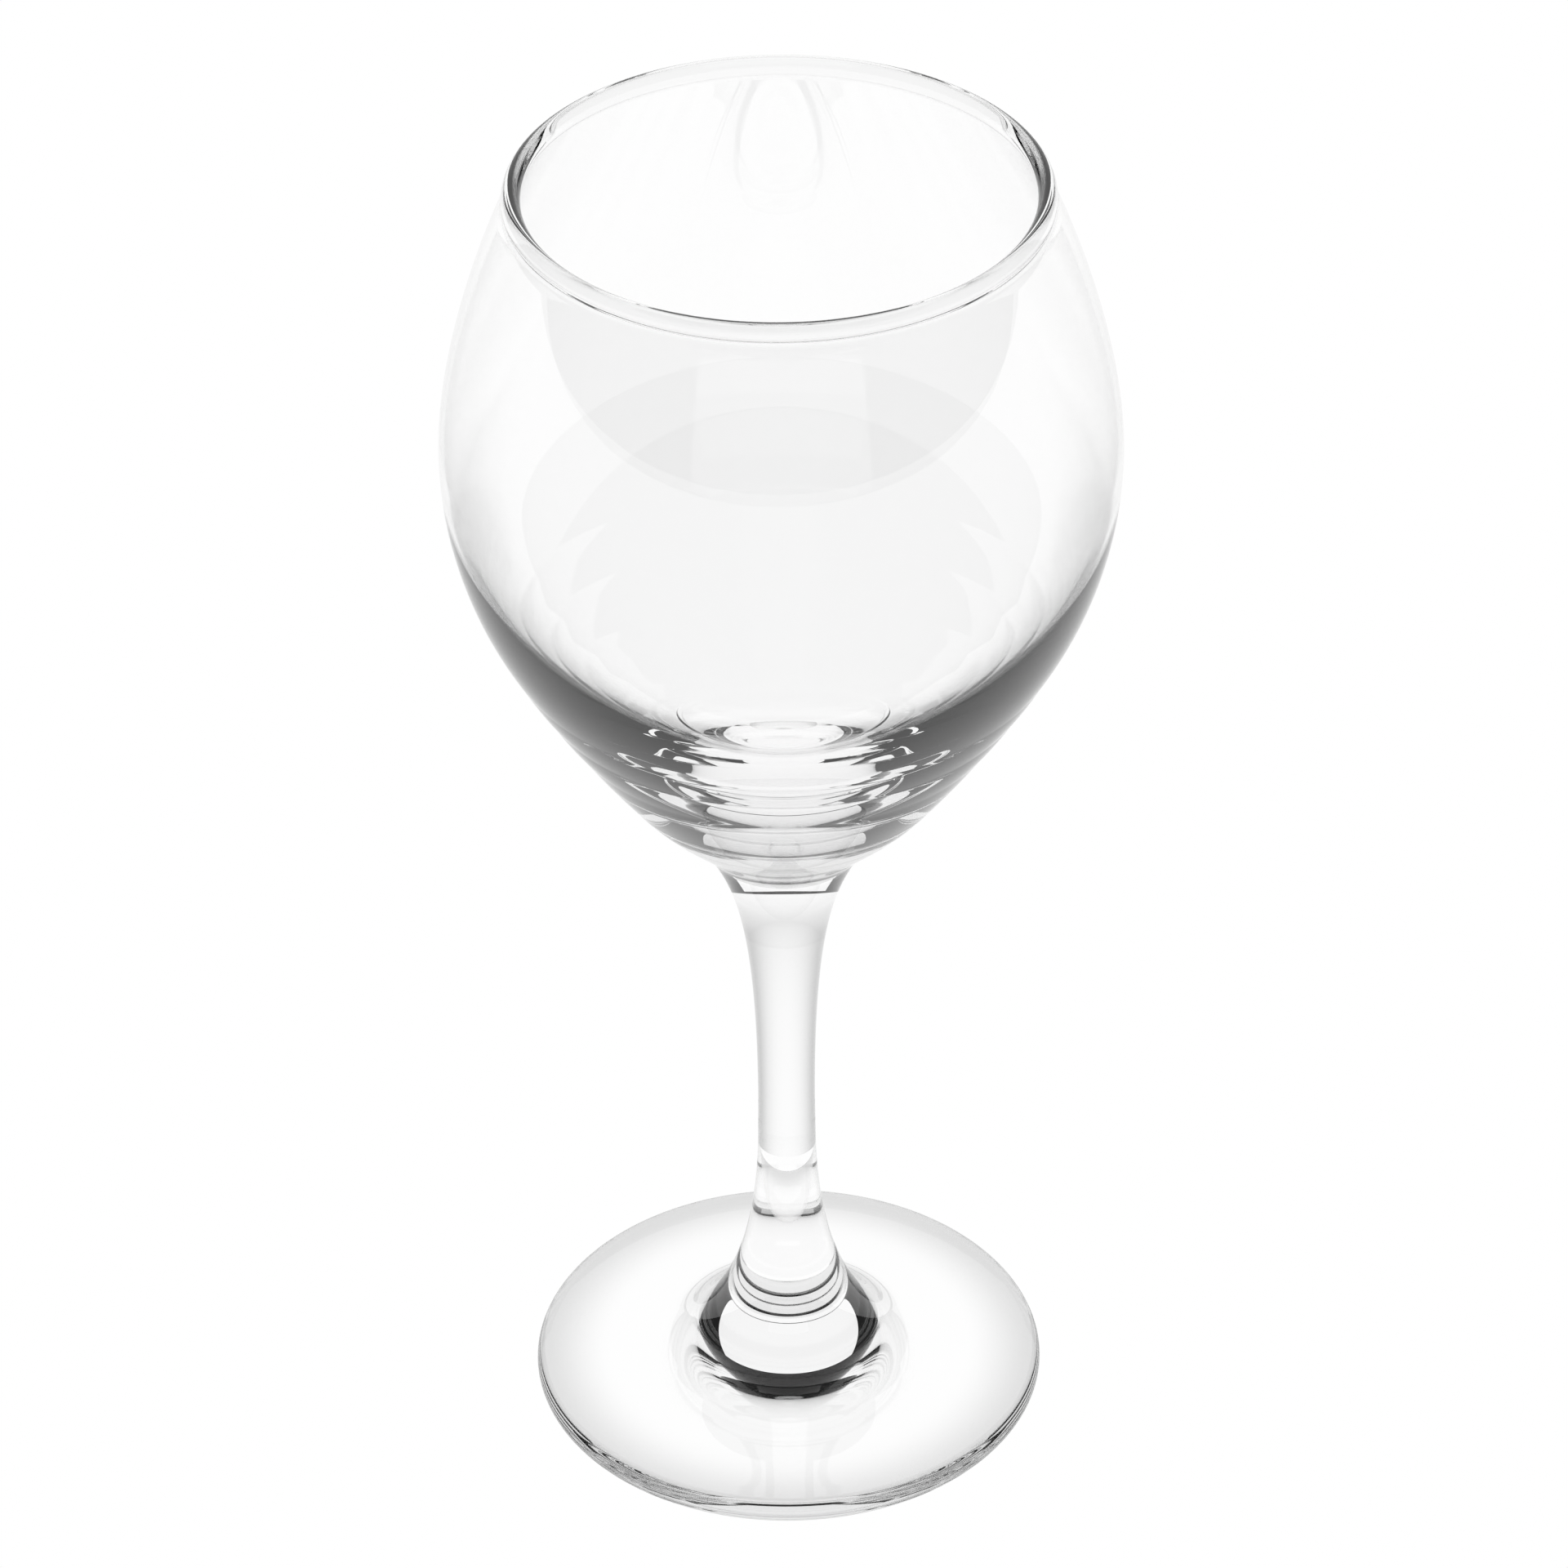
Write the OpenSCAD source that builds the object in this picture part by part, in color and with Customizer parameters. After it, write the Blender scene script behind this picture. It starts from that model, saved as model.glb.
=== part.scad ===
// Red-wine glass in clear soda-lime glass, all sizes in millimetres.
// A blown balloon bowl, a solid drawn stem and a pressed foot are fused end to end.
// +Z is the axis of the glass, and Z = 0 is the table that the foot rests on.

/* [Foot] */
// Diameter of the foot
foot_d = 74.4; // [56:0.2:96]
// Thickness of the foot's rounded edge
foot_edge_t = 3.8; // [2.4:0.1:5]
// Height of the plate where it starts to sweep up into the stub
foot_plate_h = 5.2; // [5.1:0.1:8]
// Diameter at which the plate starts to sweep up
foot_sweep_d = 39; // [28:0.5:48]
// Height of the pressed stub, up to the lower weld
foot_h = 41.5; // [28:0.5:60]
// Width of the flat ring that the foot rests on
rest_ring_w = 4; // [2:0.5:8]
// Depth of the shallow dome under the foot
foot_dome_h = 1.2; // [0.4:0.1:2]

/* [Stem] */
// Diameter of the stem at the lower weld
weld_d = 8.4; // [6:0.1:12]
// Diameter of the stem where it is thinnest
stem_d = 8.2; // [5.6:0.1:11.6]
// Length of the drawn stem, from the lower weld to the upper weld
stem_l = 52.5; // [36:0.5:80]
// Height of the thinnest place above the lower weld
stem_waist_h = 8; // [4:0.5:14]
// Diameter of the stem where it flares into the bowl
neck_d = 21.8; // [17:0.2:26]

/* [Bowl] */
// Height of the bowl, from the upper weld to the top of the rim
bowl_h = 106; // [88:0.5:132]
// Diameter of the bowl at its widest
bowl_d = 92.4; // [77:0.2:112]
// Height of the widest place above the upper weld
widest_h = 65.5; // [52:0.5:72]
// Diameter of the mouth just under the rim bead
mouth_d = 73.5; // [61:0.2:88.4]
// Thickness of the wall under the rim
rim_wall = 1.4; // [1:0.1:2.2]
// Thickness of the wall at the widest place
side_wall = 1; // [0.8:0.1:2]

/* [Cavity below the widest place] */
// Height above the upper weld at which the flank's wall and slope are set
flank_h = 42; // [35:0.5:50.5]
// Thickness of the wall across that height
flank_wall = 2.5; // [2:0.1:3.5]
// Slope of the flank there, in degrees
flank_slope = 59; // [49:1:70]
// Height above the upper weld of the edge of the rounded floor
cup_h = 14; // [12.5:0.5:17]
// Diameter of that edge
cup_d = 33; // [27:0.5:39.5]
// Slope of the flank where it meets that edge, in degrees
cup_slope = 45; // [37:1:54]
// Thickness of solid glass between the upper weld and the floor
floor_t = 10; // [8:0.5:12]

/* [Rim bead] */
// Thickness of the fire-polished bead, across the wall
bead_t = 2.6; // [2.2:0.1:3.4]
// Height of the bead
bead_h = 2.9; // [2.2:0.1:4]

/* [Rings round the bowl's base] */
// Heights of the rings above the upper weld, from the lowest
ring_h = [14.4, 24.2, 30.3, 36.4];
// Diameters of the rings, from the lowest
ring_d = [47.8, 61.4, 69.2, 76.4];
// How far each band between two rings swells out
band_swell = 0.12; // [0:0.02:0.3]

/* [Hidden] */
$fn = 180;
weld_z = foot_h;
neck_z = weld_z + stem_l;
rim_z = neck_z + bowl_h;
widest_z = neck_z + widest_h;
floor_z = neck_z + floor_t;
mouth_z = rim_z - bead_h;
// The bead's centre sits over the inside of the wall
bead_r = mouth_d / 2 - rim_wall;
bead_z = rim_z - bead_h / 2;
// The bead runs into the wall at this angle below its centre line
bead_join = 40;
// The rounded floor starts less steep than the flank by this many degrees
cup_turn = 12;
// Parts of a curve's own width and height over which it keeps the direction it starts or ends with
neck_lead = [0.19, 0.28];
base_lead = 0.62;
ring_lead = 0.17;
below_belly = 0.49;
above_belly = 0.21;
shoulder_lead = [0.74, 0.43];
below_inner_belly = 0.42;
above_flank = 0.37;
below_flank = 0.36;
above_cup = 0.32;
stem_lead = 0.7;
flare_lead = [0.51, 0.15];
sweep_lead = [0.38, 0.03];
stub_lead = [0.04, 0.72];
glass = "#dfe7e6";
// Straight steps in each curve, in each band between two rings, and round the beads
curve_steps = 20;
band_steps = 4;
bead_steps = 24;
edge_steps = 16;

// Points of a cubic curve that leaves a towards b and arrives at d from c
function curve(a, b, c, d, steps = curve_steps) = [
    for (i = [0 : steps])
        let (t = i / steps, u = 1 - t)
            a * u * u * u + b * 3 * u * u * t + c * 3 * u * t * t + d * t * t * t
];

// Points of an ellipse with half-axes rx and rz, round the centre c
function bend(c, rx, rz, from, to, steps) = [
    for (i = [0 : steps])
        let (a = from + (to - from) * i / steps) c + [rx * cos(a), rz * sin(a)]
];

// Points from a to b that swell out by s half-way, without a itself
function swell(a, b, s) = [
    for (i = [1 : band_steps])
        let (t = i / band_steps, n = [b[1] - a[1], a[0] - b[0]] / norm(b - a))
            a + (b - a) * t + n * s * 4 * t * (1 - t)
];

// Unit vector that climbs outwards at a slope in degrees
function uphill(slope) = [cos(slope), sin(slope)];

// A list of points in the opposite order
function turned(points) = [for (i = [len(points) - 1 : -1 : 0]) points[i]];

// A list of points without its first one, where it carries on from another list
function after(points) = [for (i = [1 : len(points) - 1]) points[i]];

// The way from a to b, with its width and its height each taken in part
function part(a, b, k) = [(b[0] - a[0]) * k[0], (b[1] - a[1]) * k[1]];

// Outside of the bowl, from the upper weld to the bead
function ring(i) = [ring_d[i] / 2, neck_z + ring_h[i]];
rings = len(ring_h);
top_ring = ring(rings - 1);
neck = [neck_d / 2, neck_z];
widest = [bowl_d / 2, widest_z];
mouth = [mouth_d / 2, mouth_z];
top_slope = (top_ring - ring(rings - 2)) / norm(top_ring - ring(rings - 2));
base_slope = (ring(1) - ring(0)) / norm(ring(1) - ring(0));
lower_side = widest_z - top_ring[1];
upper_side = mouth_z - widest_z;
shoulder = [(bowl_d - mouth_d) / 2 * shoulder_lead[0], -upper_side * shoulder_lead[1]];
outside = concat(
    curve(neck, neck + part(neck, ring(0), neck_lead), ring(0) - base_slope * ring_h[0] * base_lead, ring(0)),
    [for (i = [1 : rings - 1]) each swell(ring(i - 1), ring(i), band_swell)],
    after(curve(top_ring, top_ring + top_slope * lower_side * ring_lead,
                widest - [0, lower_side * below_belly], widest)),
    after(curve(widest, widest + [0, upper_side * above_belly], mouth + shoulder, mouth))
);

// Inside of the bowl, from the mouth down to the middle of the floor
function outer_r(z) = lookup(z, [for (p = outside) [p[1], p[0]]]);
flank_z = neck_z + flank_h;
inner_widest = widest - [side_wall, 0];
inner_mouth = mouth - [rim_wall, 0];
flank = [outer_r(flank_z) - flank_wall, flank_z];
flank_dir = uphill(flank_slope);
cup_edge = [cup_d / 2, neck_z + cup_h];
cup_depth = cup_edge[1] - floor_z;
upper_flank = widest_z - flank_z;
lower_flank = flank_z - cup_edge[1];
inside = concat(
    turned(curve(inner_widest, inner_widest + [0, upper_side * above_belly],
                 inner_mouth + shoulder, inner_mouth)),
    after(curve(inner_widest, inner_widest - [0, upper_flank * below_inner_belly],
                flank + flank_dir * upper_flank * above_flank, flank)),
    after(curve(flank, flank - flank_dir * lower_flank * below_flank,
                cup_edge + uphill(cup_slope) * lower_flank * above_cup, cup_edge)),
    after(curve(cup_edge, cup_edge - uphill(cup_slope - cup_turn) * cup_depth,
                [cup_edge[0] / 2, floor_z], [0, floor_z]))
);

module bowl() {
    color(glass, 0.35)
        rotate_extrude()
            polygon(concat(
                [[0, neck_z]],
                outside,
                bend([bead_r, bead_z], bead_t / 2, bead_h / 2, -bead_join, 180 + bead_join, bead_steps),
                inside
            ));
}

module stem() {
    waist = [stem_d / 2, weld_z + stem_waist_h];
    color(glass, 0.35)
        rotate_extrude()
            polygon(concat(
                [[0, weld_z], [weld_d / 2, weld_z]],
                curve(waist, waist + [0, (neck_z - waist[1]) * stem_lead],
                      neck - part(waist, neck, flare_lead), neck),
                [[0, neck_z]]
            ));
}

module foot() {
    edge_r = foot_edge_t / 2;
    rest_r = foot_d / 2 - edge_r;
    dome_r = rest_r - rest_ring_w;
    sweep = [foot_sweep_d / 2, foot_plate_h];
    weld = [weld_d / 2, weld_z];
    color(glass, 0.35)
        rotate_extrude()
            polygon(concat(
                curve([0, foot_dome_h], [dome_r * 0.5, foot_dome_h], [dome_r * 0.8, 0.1], [dome_r, 0]),
                bend([rest_r, edge_r], edge_r, edge_r, -90, 90, edge_steps),
                curve(sweep, sweep + part(sweep, weld, sweep_lead),
                      weld - part(sweep, weld, stub_lead), weld),
                [[0, weld_z]]
            ));
}

bowl();
stem();
foot();
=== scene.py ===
"""Red-wine glass in clear soda-lime glass: a blown bowl, a drawn stem and a pressed foot.

Each piece is one turned surface. The surfaces are open where two pieces are welded and share
the ring of points there, so light runs through the weld as it does in fused glass.
"""

import math

import bpy
from bpy.props import FloatProperty, FloatVectorProperty, IntProperty, PointerProperty
from mathutils import Matrix, Vector


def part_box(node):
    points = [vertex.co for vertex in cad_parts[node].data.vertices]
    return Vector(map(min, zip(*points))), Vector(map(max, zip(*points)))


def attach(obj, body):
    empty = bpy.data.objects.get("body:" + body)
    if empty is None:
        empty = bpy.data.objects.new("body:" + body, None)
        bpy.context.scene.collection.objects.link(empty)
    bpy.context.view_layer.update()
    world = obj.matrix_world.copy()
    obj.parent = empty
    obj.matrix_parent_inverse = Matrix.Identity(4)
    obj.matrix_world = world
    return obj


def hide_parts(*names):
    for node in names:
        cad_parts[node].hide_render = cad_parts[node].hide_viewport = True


bl_info = {
    "name": "Wine Glass",
    "version": (1, 0, 0),
    "blender": (4, 5, 0),
    "location": "View3D > Sidebar > Wine Glass",
    "description": "Builds a stemmed wine glass from a bowl, a stem and a foot",
    "category": "Add Mesh",
}

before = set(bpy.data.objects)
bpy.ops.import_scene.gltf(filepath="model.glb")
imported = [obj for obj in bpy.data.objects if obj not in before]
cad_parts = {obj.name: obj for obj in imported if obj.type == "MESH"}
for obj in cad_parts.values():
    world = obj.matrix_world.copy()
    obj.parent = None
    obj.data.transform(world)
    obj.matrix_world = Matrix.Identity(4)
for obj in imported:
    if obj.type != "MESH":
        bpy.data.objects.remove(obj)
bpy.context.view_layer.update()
BOWL_LOW, BOWL_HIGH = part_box("bowl")
STEM_LOW, STEM_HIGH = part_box("stem")
FOOT_LOW, FOOT_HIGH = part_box("foot")

MM = 0.001
SAME_POINT = 1e-7

# Handles of the outlines' curves, in millimetres outwards and upwards, or along a slope
NECK_LEAVES = (2.5, 4)
BASE_ARRIVES = 9
TOP_RING_LEAVES = 5
WIDEST_BELOW = (0, 14.2)
WIDEST_ABOVE = (0, 8)
SHOULDER = (7, -16.3)
INNER_WIDEST_BELOW = (0, 9.9)
FLANK_ABOVE = 8.6
FLANK_BELOW = 10
CUP_ABOVE = 9
WAIST_LEAVES = (0, 31)
NECK_ARRIVES = (3.5, 6.5)
SWEEP_LEAVES = (-5.8, 1)
STUB_ARRIVES = (0.6, -26)
DOME_LOW = 0.1
# The bead runs into the wall at this angle in degrees below its centre line
BEAD_JOIN = 40

# How much light clear glass lets through, before any painted shade
CLEARNESS = 0.995
# Ripple left by the forming: its width, depth and height across the surface, and how deep it is
BLOWN_RIPPLE = ((40, 40, 6), 0.002)
DRAWN_RIPPLE = ((4, 4, 60), 0.001)
PRESSED_RIPPLE = ((9, 9, 9), 0.004)

# Direction and height in degrees, width and height in degrees, and brightness
BACK_PANEL = (0, 25, 64, 50, 0.97)
FRONT_PANEL = (180, 8, 60, 16, 0.4)
PANEL_DISTANCE = 2.0
PANEL_AIM_H = 0.12
WORLD_GREY = (0.015, 0.015, 0.015, 1)
FLOOR_DROP = 0.2
FLOOR_SIDES = 64

CAMERA_LENS = 153.1
CAMERA_SENSOR = 36
CAMERA_PLACE = (0, -0.76405, 0.63535)
CAMERA_DOWN = 0.60748
CAMERA_TURN = -0.00822


# ---------------------------------------------------------------- settings


def length(name, description, default_mm, **more):
    """A size that the user gives in Blender's length unit, with its default in millimetres."""
    return FloatProperty(
        name=name,
        description=description,
        default=default_mm * MM,
        min=0.0,
        unit="LENGTH",
        precision=4,
        **more,
    )


class BowlSettings(bpy.types.PropertyGroup):
    widest_h: length("Widest height", "Height of the widest place above the upper weld", 65.5)
    mouth_d: length("Mouth diameter", "Outside diameter just under the rim bead", 73.5)
    rim_wall: length("Rim wall", "Thickness of the wall under the rim", 1.4)
    side_wall: length("Side wall", "Thickness of the wall at the widest place", 1.0)
    flank_h: length("Flank height", "Height above the upper weld where the flank is set", 42.0)
    flank_d: length("Flank diameter", "Inside diameter at that height", 77.2)
    flank_slope: FloatProperty(
        name="Flank slope", description="Slope of the flank in degrees", default=59.0
    )
    cup_h: length("Cup height", "Height of the edge of the rounded floor above the weld", 14.0)
    cup_d: length("Cup diameter", "Diameter of the edge of the rounded floor", 33.0)
    cup_slope: FloatProperty(
        name="Cup slope", description="Slope of the cavity just above that edge", default=45.0
    )
    cup_turn: FloatProperty(
        name="Cup turn", description="Change of slope across that edge, in degrees", default=12.0
    )
    crease_w: length("Crease width", "Width of the faint crease round the rounded floor", 1.2)
    crease_h: length("Crease height", "Height of that crease", 0.25)
    floor_t: length("Floor", "Solid glass between the upper weld and the cavity", 10.0)
    bead_t: length("Bead thickness", "Thickness of the fire-polished bead", 2.6)
    bead_h: length("Bead height", "Height of the fire-polished bead", 2.9)
    band_swell: length("Band swell", "How far each band between two rings swells out", 0.12)
    ring_h: FloatVectorProperty(
        name="Ring heights",
        description="Heights of the rings above the upper weld, from the lowest",
        size=4,
        default=[h * MM for h in (14.4, 24.2, 30.3, 36.4)],
        unit="LENGTH",
    )
    ring_d: FloatVectorProperty(
        name="Ring diameters",
        description="Diameters of the rings, from the lowest",
        size=4,
        default=[d * MM for d in (47.8, 61.4, 69.2, 76.4)],
        unit="LENGTH",
    )


class StemSettings(bpy.types.PropertyGroup):
    waist_d: length("Waist diameter", "Diameter where the stem is thinnest", 8.2)
    waist_h: length("Waist height", "Height of the thinnest place above the lower weld", 8.0)
    weld_d: length("Weld diameter", "Diameter at the lower weld", 8.4)


class FootSettings(bpy.types.PropertyGroup):
    edge_t: length("Edge thickness", "Thickness of the rounded edge", 3.8)
    plate_h: length("Plate height", "Height where the plate starts to sweep up", 5.2)
    sweep_d: length("Sweep diameter", "Diameter where the plate starts to sweep up", 39.0)
    rest_ring_w: length("Resting ring", "Width of the flat ring under the foot", 4.0)
    dome_h: length("Dome", "Depth of the shallow dome under the foot", 1.2)


class FinishSettings(bpy.types.PropertyGroup):
    sides: IntProperty(
        name="Sides", description="Straight sides in each turned circle", default=256, min=24
    )
    steps: IntProperty(
        name="Steps", description="Straight steps in each curve of the outline", default=48, min=6
    )
    ior: FloatProperty(
        name="IOR", description="Refractive index of soda-lime glass", default=1.52, min=1.0
    )


class StageSettings(bpy.types.PropertyGroup):
    floor_r: length("Floor radius", "Radius of the round pale floor", 6000.0)


# ---------------------------------------------------------------- outlines


def curve(a, b, c, d, steps):
    """Points of a cubic curve that leaves a towards b and arrives at d from c."""
    a, b, c, d = (Vector(p) for p in (a, b, c, d))
    points = []
    for i in range(steps + 1):
        t = i / steps
        u = 1 - t
        points.append(a * u**3 + b * 3 * u * u * t + c * 3 * u * t * t + d * t**3)
    return points


def bend(centre, rx, rz, start, end, steps):
    """Points of an ellipse with half-axes rx and rz, from one angle in degrees to another."""
    points = []
    for i in range(steps + 1):
        a = math.radians(start + (end - start) * i / steps)
        points.append(Vector(centre) + Vector((rx * math.cos(a), rz * math.sin(a))))
    return points


def swell(a, b, height, steps):
    """Points from a to b that swell out by a height half-way."""
    along = b - a
    out = Vector((along.y, -along.x)).normalized()
    parts = [i / steps for i in range(steps + 1)]
    return [a + along * t + out * height * 4 * t * (1 - t) for t in parts]


def uphill(slope):
    """Unit vector that climbs outwards at a slope in degrees."""
    return Vector((math.cos(math.radians(slope)), math.sin(math.radians(slope))))


def handle(offset):
    """A curve's handle, from millimetres outwards and upwards."""
    return Vector(offset) * MM


def bowl_outline(s, steps):
    """Outside from the upper weld to the rim, then inside down to the floor of the cavity."""
    neck_z, rim_z = BOWL_LOW.z, BOWL_HIGH.z
    floor_z = neck_z + s.floor_t
    rings = [Vector((d / 2, neck_z + h)) for d, h in zip(s.ring_d, s.ring_h)]
    base_slope = (rings[1] - rings[0]).normalized() * MM
    side_slope = (rings[3] - rings[2]).normalized() * MM
    neck = Vector((STEM_HIGH.x, neck_z))
    widest = Vector((BOWL_HIGH.x, neck_z + s.widest_h))
    mouth = Vector((s.mouth_d / 2, rim_z - s.bead_h))
    base_end = rings[0] - base_slope * BASE_ARRIVES
    side_start = rings[3] + side_slope * TOP_RING_LEAVES
    up, lean = handle(WIDEST_ABOVE), handle(SHOULDER)
    bands = [swell(a, b, s.band_swell, steps // 3) for a, b in zip(rings, rings[1:])]
    outside = [
        curve(neck, neck + handle(NECK_LEAVES), base_end, rings[0], steps),
        *bands,
        curve(rings[3], side_start, widest - handle(WIDEST_BELOW), widest, steps),
        curve(widest, widest + up, mouth + lean, mouth, steps),
    ]
    bead_centre = (mouth.x - s.rim_wall, rim_z - s.bead_h / 2)
    bead = bend(bead_centre, s.bead_t / 2, s.bead_h / 2, -BEAD_JOIN, 180 + BEAD_JOIN, steps)
    inner_widest = widest - Vector((s.side_wall, 0))
    inner_mouth = mouth - Vector((s.rim_wall, 0))
    inner_top = curve(inner_widest, inner_widest + up, inner_mouth + lean, inner_mouth, steps)
    flank = Vector((s.flank_d / 2, neck_z + s.flank_h))
    cup_edge = Vector((s.cup_d / 2, neck_z + s.cup_h))
    climb, cup_climb = uphill(s.flank_slope) * MM, uphill(s.cup_slope) * MM
    flank_end = flank + climb * FLANK_ABOVE
    flank_high = curve(
        inner_widest, inner_widest - handle(INNER_WIDEST_BELOW), flank_end, flank, steps
    )
    cup_end = cup_edge + cup_climb * CUP_ABOVE
    flank_low = curve(flank, flank - climb * FLANK_BELOW, cup_end, cup_edge, steps)
    into_cup = uphill(s.cup_slope - s.cup_turn) * (cup_edge.y - floor_z)
    crease_end = cup_edge - into_cup.normalized() * s.crease_w
    crease = swell(cup_edge, crease_end, s.crease_h, steps // 4)
    cup = curve(crease_end, cup_edge - into_cup, (cup_edge.x / 2, floor_z), (0, floor_z), steps)
    return outside + [bead, inner_top[::-1], flank_high, flank_low, crease, cup]


def stem_outline(s, steps):
    """Side of the stem, from the lower weld to the upper weld."""
    weld_z, neck_z, neck_r = STEM_LOW.z, STEM_HIGH.z, STEM_HIGH.x
    waist = Vector((s.waist_d / 2, weld_z + s.waist_h))
    neck = Vector((neck_r, neck_z))
    leaves, arrives = waist + handle(WAIST_LEAVES), neck - handle(NECK_ARRIVES)
    drawn = curve(waist, leaves, arrives, neck, steps * 2)
    return [[Vector((s.weld_d / 2, weld_z)), drawn[0]], drawn]


def foot_outline(s, steps, weld_d):
    """Underside from the middle out, round the edge, and up the stub to the lower weld."""
    edge_r = s.edge_t / 2
    rest_r = FOOT_HIGH.x - edge_r
    dome_r = rest_r - s.rest_ring_w
    sweep = Vector((s.sweep_d / 2, s.plate_h))
    weld = Vector((weld_d / 2, FOOT_HIGH.z))
    dome_end = (dome_r * 0.8, DOME_LOW * MM)
    leaves, arrives = sweep + handle(SWEEP_LEAVES), weld + handle(STUB_ARRIVES)
    return [
        curve((0, s.dome_h), (dome_r * 0.5, s.dome_h), dome_end, (dome_r, 0), steps),
        [Vector((dome_r, 0)), Vector((rest_r, 0))],
        bend((rest_r, edge_r), edge_r, edge_r, -90, 90, steps),
        [Vector((rest_r, s.edge_t)), sweep],
        curve(sweep, leaves, arrives, weld, steps * 2),
    ]


# ---------------------------------------------------------------- meshes


def turned_piece(name, outline, sides):
    """A smooth surface turned round the Z axis from stretches of (radius, height) points."""
    points = []
    for stretch in outline:
        for p in stretch:
            if not points or (p - points[-1]).length > SAME_POINT:
                points.append(p.copy())
    verts, rows = [], []
    for p in points:
        if p.x < SAME_POINT:
            rows.append([len(verts)] * sides)
            verts.append((0, 0, p.y))
            continue
        rows.append([len(verts) + i for i in range(sides)])
        for i in range(sides):
            a = 2 * math.pi * i / sides
            verts.append((p.x * math.cos(a), p.x * math.sin(a), p.y))
    faces = []
    for low, high in zip(rows, rows[1:]):
        for i in range(sides):
            j = (i + 1) % sides
            corners = [low[i], low[j], high[j], high[i]]
            faces.append(list(dict.fromkeys(corners)))
    mesh = bpy.data.meshes.new(name)
    mesh.from_pydata(verts, [], faces)
    mesh.shade_smooth()
    mesh.validate()
    piece = bpy.data.objects.new(name, mesh)
    bpy.context.scene.collection.objects.link(piece)
    return piece


# ---------------------------------------------------------------- materials


def linear(code):
    """Linear RGBA from an sRGB hex colour."""
    channels = [int(code[i : i + 2], 16) / 255 for i in (1, 3, 5)]
    return [c / 12.92 if c <= 0.04045 else ((c + 0.055) / 1.055) ** 2.4 for c in channels] + [1.0]


def add(tree, kind, inputs=None, **settings):
    """Adds a node, sets its properties, and fills its inputs with values or links."""
    node = tree.nodes.new(kind)
    for key, value in settings.items():
        setattr(node, key, value)
    for key, value in (inputs or {}).items():
        if isinstance(value, bpy.types.NodeSocket):
            tree.links.new(value, node.inputs[key])
        else:
            node.inputs[key].default_value = value
    return node


def new_material(name):
    material = bpy.data.materials.new(name)
    material.use_nodes = True
    material.node_tree.nodes.clear()
    return material, material.node_tree


def multiply(tree, a, b):
    return add(tree, "ShaderNodeMath", {0: a, 1: b}, operation="MULTIPLY").outputs[0]


def ease(tree, value, start, end, before, after):
    """Goes smoothly from one level to another as a value goes from start to end."""
    inputs = {"Value": value, "From Min": start, "From Max": end, "To Min": before, "To Max": after}
    node = add(tree, "ShaderNodeMapRange", inputs, interpolation_type="SMOOTHSTEP")
    return node.outputs["Result"]


def grazing_painted_shade(tree, start, end, low, clear_from=None, clear_to=None):
    """Painted shade: white where the glass faces the eye, greyer where the eye looks along it,
    standing in for dark surroundings seen at the glass's edges. Between two heights the
    painted grey can give way to white, where thin glass runs into thick."""
    facing = add(tree, "ShaderNodeLayerWeight", {"Blend": 0.5}).outputs["Facing"]
    painted_shade = ease(tree, facing, start, end, 1.0, low)
    if clear_from is None:
        return painted_shade
    place = add(tree, "ShaderNodeTexCoord").outputs["Object"]
    height = add(tree, "ShaderNodeSeparateXYZ", {"Vector": place}).outputs["Z"]
    rise = ease(tree, height, clear_from, clear_to, 0.0, 1.0)
    return add(tree, "ShaderNodeMath", {0: painted_shade, 1: rise}, operation="MAXIMUM").outputs[0]


def rim_painted_shade(tree, start, end, low):
    """Painted shade: white in the middle of a plate, greyer towards its edge, by distance from the
    axis.
    """
    place = add(tree, "ShaderNodeTexCoord").outputs["Object"]
    flat = add(tree, "ShaderNodeVectorMath", {0: place, 1: (1, 1, 0)}, operation="MULTIPLY")
    away = add(tree, "ShaderNodeVectorMath", {0: flat.outputs["Vector"]}, operation="LENGTH")
    return ease(tree, away.outputs["Value"], start, end, 1.0, low)


# Each painted shade: where it starts and ends, how grey it gets, and heights in metres that clear
# it.
# Grazing ones run from 0, facing the eye, to 1; the rim's runs over the radius in metres.
# All are painted shade in the base colour, standing in for dark surroundings at the edges.
BOWL_PAINTED_SHADES = (
    (grazing_painted_shade, 0.7, 1.0, 0.6),
    (grazing_painted_shade, 0.38, 0.8, 0.62, 0.136, 0.158),
)
STEM_PAINTED_SHADES = ((grazing_painted_shade, 0.12, 0.7, 0.3, 0.074, 0.093),)
FOOT_PAINTED_SHADES = ((grazing_painted_shade, 0.5, 0.95, 0.5), (rim_painted_shade, 0.026, 0.0375, 0.72))


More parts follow.
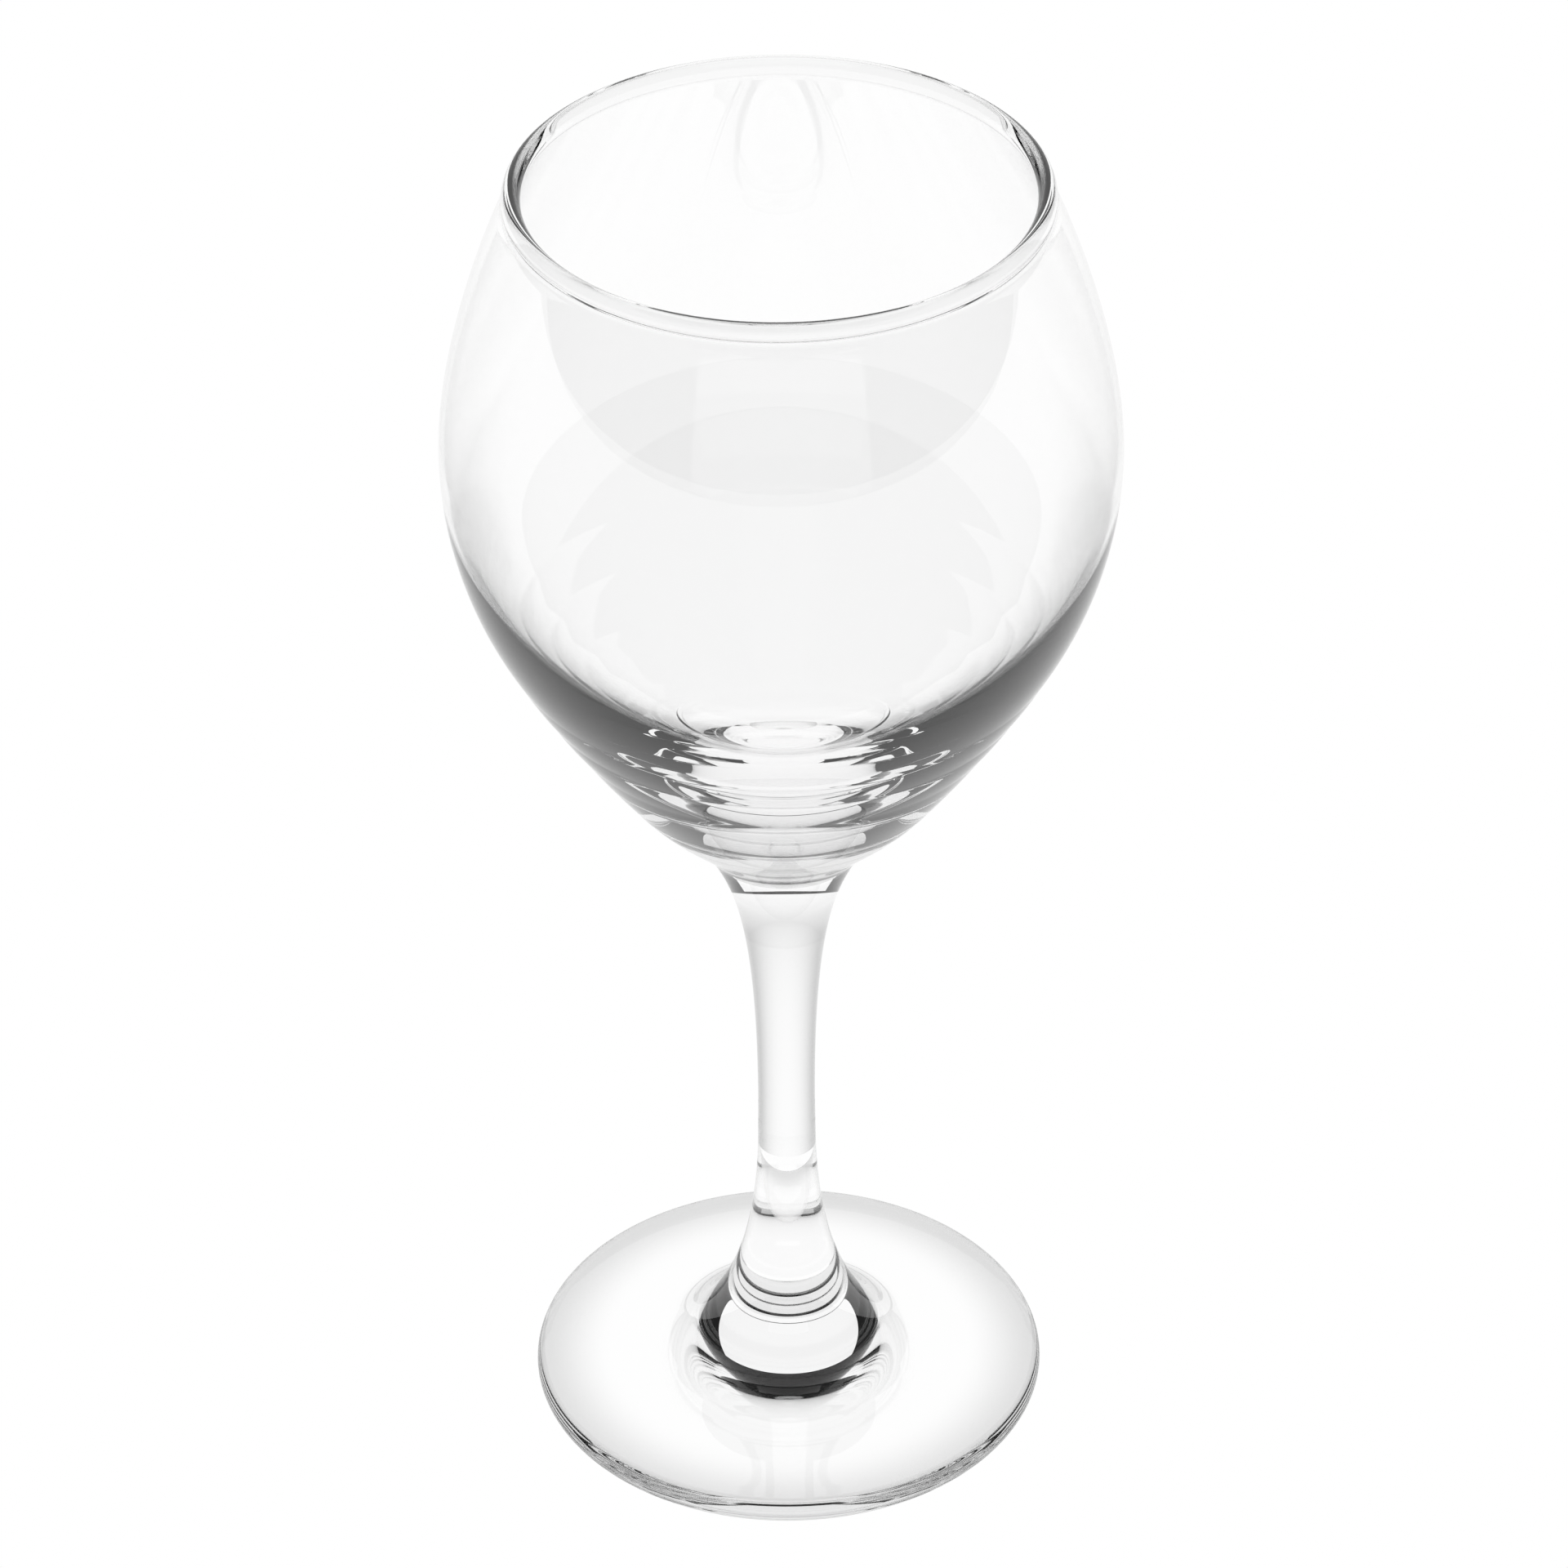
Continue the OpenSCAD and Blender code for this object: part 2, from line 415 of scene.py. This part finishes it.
def clear_glass(name, ior, ripple_mm, painted_shades):
    """Clear soda-lime glass. Its surface keeps a faint ripple from how it was formed, which
    shows only where the eye looks along the wall. Each painted shade is a function and its
    numbers; together they grey the base colour."""
    material, tree = new_material(name)
    stretch_mm, depth_mm = ripple_mm
    place = add(tree, "ShaderNodeTexCoord")
    scaled = add(
        tree,
        "ShaderNodeMapping",
        {"Vector": place.outputs["Object"], "Scale": [1 / (s * MM) for s in stretch_mm]},
    )
    noise = {"Vector": scaled.outputs["Vector"], "Scale": 1.0, "Detail": 1.0}
    ripple = add(tree, "ShaderNodeTexNoise", noise)
    bump = add(
        tree,
        "ShaderNodeBump",
        {"Height": ripple.outputs["Fac"], "Strength": 1.0, "Distance": depth_mm * MM},
    )
    clearness_and_painted_shade = CLEARNESS
    # Painted shade: each function greys the glass's base colour, standing in for dark surroundings.
    for painted_shade, *numbers in painted_shades:
        clearness_and_painted_shade = multiply(tree, painted_shade(tree, *numbers), clearness_and_painted_shade)
    colour = add(
        tree, "ShaderNodeCombineColor", {"Red": clearness_and_painted_shade, "Green": clearness_and_painted_shade, "Blue": clearness_and_painted_shade}
    )
    shader = add(
        tree,
        "ShaderNodeBsdfPrincipled",
        {
            "Base Color": colour.outputs["Color"],
            "Roughness": 0.0,
            "IOR": ior,
            "Transmission Weight": 1.0,
            "Normal": bump.outputs["Normal"],
        },
    )
    add(tree, "ShaderNodeOutputMaterial", {"Surface": shader.outputs["BSDF"]})
    return material


def dress(piece, material, node):
    piece.data.materials.append(material)
    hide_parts(node)
    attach(piece, "root")


# ---------------------------------------------------------------- operators


class WINEGLASS_OT_bowl(bpy.types.Operator):
    """Build the blown bowl with its rim bead and the rings round its base"""

    bl_idname = "wineglass.bowl"
    bl_label = "Bowl"

    def execute(self, context):
        s, finish = context.scene.wineglass_bowl, context.scene.wineglass_finish
        piece = turned_piece("blown_bowl", bowl_outline(s, finish.steps), finish.sides)
        glass = clear_glass("blown soda-lime glass", finish.ior, BLOWN_RIPPLE, BOWL_PAINTED_SHADES)
        dress(piece, glass, "bowl")
        return {"FINISHED"}


class WINEGLASS_OT_stem(bpy.types.Operator):
    """Build the solid drawn stem"""

    bl_idname = "wineglass.stem"
    bl_label = "Stem"

    def execute(self, context):
        s, finish = context.scene.wineglass_stem, context.scene.wineglass_finish
        piece = turned_piece("drawn_stem", stem_outline(s, finish.steps), finish.sides)
        glass = clear_glass("drawn soda-lime glass", finish.ior, DRAWN_RIPPLE, STEM_PAINTED_SHADES)
        dress(piece, glass, "stem")
        return {"FINISHED"}


class WINEGLASS_OT_foot(bpy.types.Operator):
    """Build the pressed foot with its stub"""

    bl_idname = "wineglass.foot"
    bl_label = "Foot"

    def execute(self, context):
        s, finish = context.scene.wineglass_foot, context.scene.wineglass_finish
        weld_d = context.scene.wineglass_stem.weld_d
        piece = turned_piece("pressed_foot", foot_outline(s, finish.steps, weld_d), finish.sides)
        glass = clear_glass("pressed soda-lime glass", finish.ior, PRESSED_RIPPLE, FOOT_PAINTED_SHADES)
        dress(piece, glass, "foot")
        return {"FINISHED"}


def softbox(name, azimuth, elevation, width, height, brightness):
    """A plain glowing panel that faces the glass. Angles are in degrees as seen from the glass."""
    a, e = math.radians(azimuth), math.radians(elevation)
    back = Vector((math.sin(a) * math.cos(e), math.cos(a) * math.cos(e), math.sin(e)))
    half_w = PANEL_DISTANCE * math.tan(math.radians(width / 2))
    half_h = PANEL_DISTANCE * math.tan(math.radians(height / 2))
    mesh = bpy.data.meshes.new(name)
    mesh.from_pydata(
        [(-half_w, -half_h, 0), (half_w, -half_h, 0), (half_w, half_h, 0), (-half_w, half_h, 0)],
        [],
        [(0, 1, 2, 3)],
    )
    panel = bpy.data.objects.new(name, mesh)
    panel.location = Vector((0, 0, PANEL_AIM_H)) + back * PANEL_DISTANCE
    panel.rotation_euler = back.to_track_quat("Z", "Y").to_euler()
    panel.visible_camera = False
    panel.visible_shadow = False
    bpy.context.scene.collection.objects.link(panel)
    material, tree = new_material(name)
    glow = add(tree, "ShaderNodeEmission", {"Strength": brightness})
    add(tree, "ShaderNodeOutputMaterial", {"Surface": glow.outputs["Emission"]})
    mesh.materials.append(material)
    return panel


def glowing_sheet():
    """Opal acrylic lit evenly from below, which looks plain white and takes no shadow."""
    material, tree = new_material("opal acrylic sheet")
    glow = add(tree, "ShaderNodeEmission", {"Color": (1, 1, 1, 1), "Strength": 1.0})
    add(tree, "ShaderNodeOutputMaterial", {"Surface": glow.outputs["Emission"]})
    return material


class WINEGLASS_OT_stage(bpy.types.Operator):
    """Set the pale floor, the soft studio light and the camera"""

    bl_idname = "wineglass.stage"
    bl_label = "Stage"

    def execute(self, context):
        scene = context.scene
        s = scene.wineglass_stage
        floor = turned_piece("floor", [[Vector((0, 0)), Vector((s.floor_r, 0))]], FLOOR_SIDES)
        floor.location.z = -FLOOR_DROP * MM
        floor.data.materials.append(glowing_sheet())
        softbox("back panel", *BACK_PANEL)
        softbox("front panel", *FRONT_PANEL)

        world = bpy.data.worlds.new("studio")
        world.use_nodes = True
        world.node_tree.nodes["Background"].inputs["Color"].default_value = WORLD_GREY
        scene.world = world

        camera = bpy.data.objects.new("camera", bpy.data.cameras.new("camera"))
        camera.data.lens = CAMERA_LENS
        camera.data.sensor_width = CAMERA_SENSOR
        camera.location = CAMERA_PLACE
        tilt = Matrix.Rotation(math.pi / 2 - CAMERA_DOWN, 3, "X")
        camera.rotation_euler = (tilt @ Matrix.Rotation(CAMERA_TURN, 3, "Z")).to_euler()
        scene.collection.objects.link(camera)
        scene.camera = camera
        scene.view_settings.view_transform = "Standard"
        scene.cycles.max_bounces = 32
        scene.cycles.glossy_bounces = 24
        scene.cycles.transmission_bounces = 32
        return {"FINISHED"}


class WINEGLASS_PT_sidebar(bpy.types.Panel):
    bl_label = "Wine Glass"
    bl_idname = "WINEGLASS_PT_sidebar"
    bl_space_type = "VIEW_3D"
    bl_region_type = "UI"
    bl_category = "Wine Glass"

    def draw(self, context):
        for operator in OPERATORS:
            self.layout.operator(operator.bl_idname)


SETTINGS = {
    "wineglass_bowl": BowlSettings,
    "wineglass_stem": StemSettings,
    "wineglass_foot": FootSettings,
    "wineglass_finish": FinishSettings,
    "wineglass_stage": StageSettings,
}
OPERATORS = (WINEGLASS_OT_bowl, WINEGLASS_OT_stem, WINEGLASS_OT_foot, WINEGLASS_OT_stage)


def register():
    for group in SETTINGS.values():
        bpy.utils.register_class(group)
    for name, group in SETTINGS.items():
        setattr(bpy.types.Scene, name, PointerProperty(type=group))
    for cls in (*OPERATORS, WINEGLASS_PT_sidebar):
        bpy.utils.register_class(cls)


def unregister():
    for cls in (WINEGLASS_PT_sidebar, *reversed(OPERATORS)):
        bpy.utils.unregister_class(cls)
    for name, group in SETTINGS.items():
        delattr(bpy.types.Scene, name)
        bpy.utils.unregister_class(group)


def main():
    register()
    bpy.ops.wineglass.bowl()
    bpy.ops.wineglass.stem()
    bpy.ops.wineglass.foot()
    bpy.ops.wineglass.stage()


if __name__ == "__main__":
    main()
